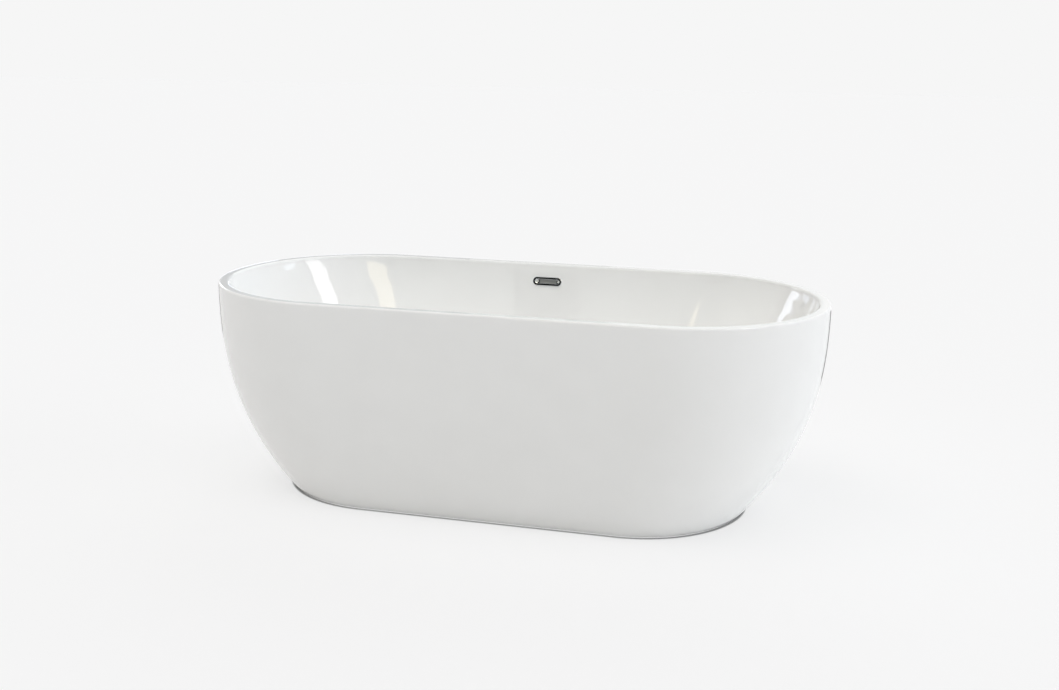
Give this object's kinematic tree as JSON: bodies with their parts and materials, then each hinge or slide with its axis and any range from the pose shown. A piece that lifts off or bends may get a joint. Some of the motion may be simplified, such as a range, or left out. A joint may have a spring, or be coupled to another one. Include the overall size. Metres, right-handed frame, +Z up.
{
  "type": "freestanding bathtub",
  "caption": "Oval double-walled freestanding bath with flat rim, inward-curving skirt, slotted overflow, click-clack waste and levelling feet on a steel frame.",
  "frame": {"origin": "on the floor under the middle of the bath", "axes": "+X along the bath's length, +Y to the long side that has the overflow, +Z up"},
  "size_m": [1.7, 0.8, 0.58],
  "materials": {
    "sanitary_acrylic": "polished, pressed from cast acrylic sheet",
    "glass_fibre_laminate": "sprayed laminate, rolled by hand",
    "particle_board": "raw board",
    "zinc_plated_steel": "zinc plated",
    "yellow_zinc_screws": "yellow zinc",
    "bonding_paste": "cured filler",
    "black_nylon": "moulded nylon",
    "chromed_brass": "polished chrome plate",
    "raw_brass": "machined",
    "white_polypropylene": "moulded",
    "grey_pvc_hose": "ribbed hose",
    "black_rubber": "moulded rubber",
    "stainless_steel": "drawn and rolled"
  },
  "bodies": {
    "root": {"inner_bowl": "sanitary_acrylic", "bowl_laminate": "glass_fibre_laminate", "outer_skirt": "sanitary_acrylic", "skirt_laminate": "glass_fibre_laminate", "rim_lap_strip": "glass_fibre_laminate", "base_board": "particle_board", "frame_rail_front": "zinc_plated_steel", "frame_rail_back": "zinc_plated_steel", "frame_cross_tubes": "zinc_plated_steel", "frame_outriggers": "zinc_plated_steel", "frame_tabs": "zinc_plated_steel", "board_screws": "yellow_zinc_screws", "bonding_blocks": "bonding_paste", "foot_sleeve_nuts": "zinc_plated_steel", "foot_lock_nuts": "zinc_plated_steel", "drain_flange": "chromed_brass", "flange_seal": "black_rubber", "drain_gasket": "black_rubber", "drain_lock_nut": "raw_brass", "waste_tee": "white_polypropylene", "tailpiece": "chromed_brass", "tailpiece_nut": "white_polypropylene", "tailpiece_washer": "black_rubber", "plug_cartridge": "raw_brass", "plug_spring": "stainless_steel", "overflow_trim": "chromed_brass", "overflow_gasket": "black_rubber", "overflow_housing": "white_polypropylene", "overflow_screws": "stainless_steel", "overflow_hose": "grey_pvc_hose", "hose_clamps": "stainless_steel"},
    "plug": {"plug_cap": "chromed_brass", "plug_seal": "black_rubber", "plug_plunger": "raw_brass"},
    "foot_pad_1": {"foot_pad_1": "black_nylon"},
    "foot_stud_1": {"foot_stud_1": "zinc_plated_steel"},
    "foot_pad_2": {"foot_pad_2": "black_nylon"},
    "foot_stud_2": {"foot_stud_2": "zinc_plated_steel"},
    "foot_pad_3": {"foot_pad_3": "black_nylon"},
    "foot_stud_3": {"foot_stud_3": "zinc_plated_steel"},
    "foot_pad_4": {"foot_pad_4": "black_nylon"},
    "foot_stud_4": {"foot_stud_4": "zinc_plated_steel"},
    "foot_pad_5": {"foot_pad_5": "black_nylon"},
    "foot_stud_5": {"foot_stud_5": "zinc_plated_steel"}
  },
  "joints": [
    {"name": "plug_lift", "type": "slide", "parent": "root", "child": "plug", "axis": [0, 0, 1], "range_m": [0, 0.008], "deforming": ["plug_spring"]},
    {"name": "foot_1_height", "type": "slide", "parent": "root", "child": "foot_pad_1", "axis": [0, 0, 1], "range_m": [-0.02, 0.004]},
    {"name": "foot_1_turn", "type": "hinge", "parent": "foot_pad_1", "child": "foot_stud_1", "pos_m": [-0.43, -0.19, 0.004], "axis": [0, 0, 1], "range_deg": [-4124.3, 832.9]},
    {"name": "foot_2_height", "type": "slide", "parent": "root", "child": "foot_pad_2", "axis": [0, 0, 1], "range_m": [-0.02, 0.004]},
    {"name": "foot_2_turn", "type": "hinge", "parent": "foot_pad_2", "child": "foot_stud_2", "pos_m": [0.43, -0.19, 0.004], "axis": [0, 0, 1], "range_deg": [-4124.3, 832.9]},
    {"name": "foot_3_height", "type": "slide", "parent": "root", "child": "foot_pad_3", "axis": [0, 0, 1], "range_m": [-0.02, 0.004]},
    {"name": "foot_3_turn", "type": "hinge", "parent": "foot_pad_3", "child": "foot_stud_3", "pos_m": [0.43, 0.19, 0.004], "axis": [0, 0, 1], "range_deg": [-4124.3, 832.9]},
    {"name": "foot_4_height", "type": "slide", "parent": "root", "child": "foot_pad_4", "axis": [0, 0, 1], "range_m": [-0.02, 0.004]},
    {"name": "foot_4_turn", "type": "hinge", "parent": "foot_pad_4", "child": "foot_stud_4", "pos_m": [-0.43, 0.19, 0.004], "axis": [0, 0, 1], "range_deg": [-4124.3, 832.9]},
    {"name": "foot_5_height", "type": "slide", "parent": "root", "child": "foot_pad_5", "axis": [0, 0, 1], "range_m": [-0.02, 0.004]},
    {"name": "foot_5_turn", "type": "hinge", "parent": "foot_pad_5", "child": "foot_stud_5", "pos_m": [0.12, 0, 0.004], "axis": [0, 0, 1], "range_deg": [-4124.3, 832.9]}
  ],
  "couplings": [
    {"joint": "foot_1_turn", "follows": "foot_1_height", "rad_per_m": 3590.4},
    {"joint": "foot_2_turn", "follows": "foot_2_height", "rad_per_m": 3590.4},
    {"joint": "foot_3_turn", "follows": "foot_3_height", "rad_per_m": 3590.4},
    {"joint": "foot_4_turn", "follows": "foot_4_height", "rad_per_m": 3590.4},
    {"joint": "foot_5_turn", "follows": "foot_5_height", "rad_per_m": 3590.4}
  ]
}
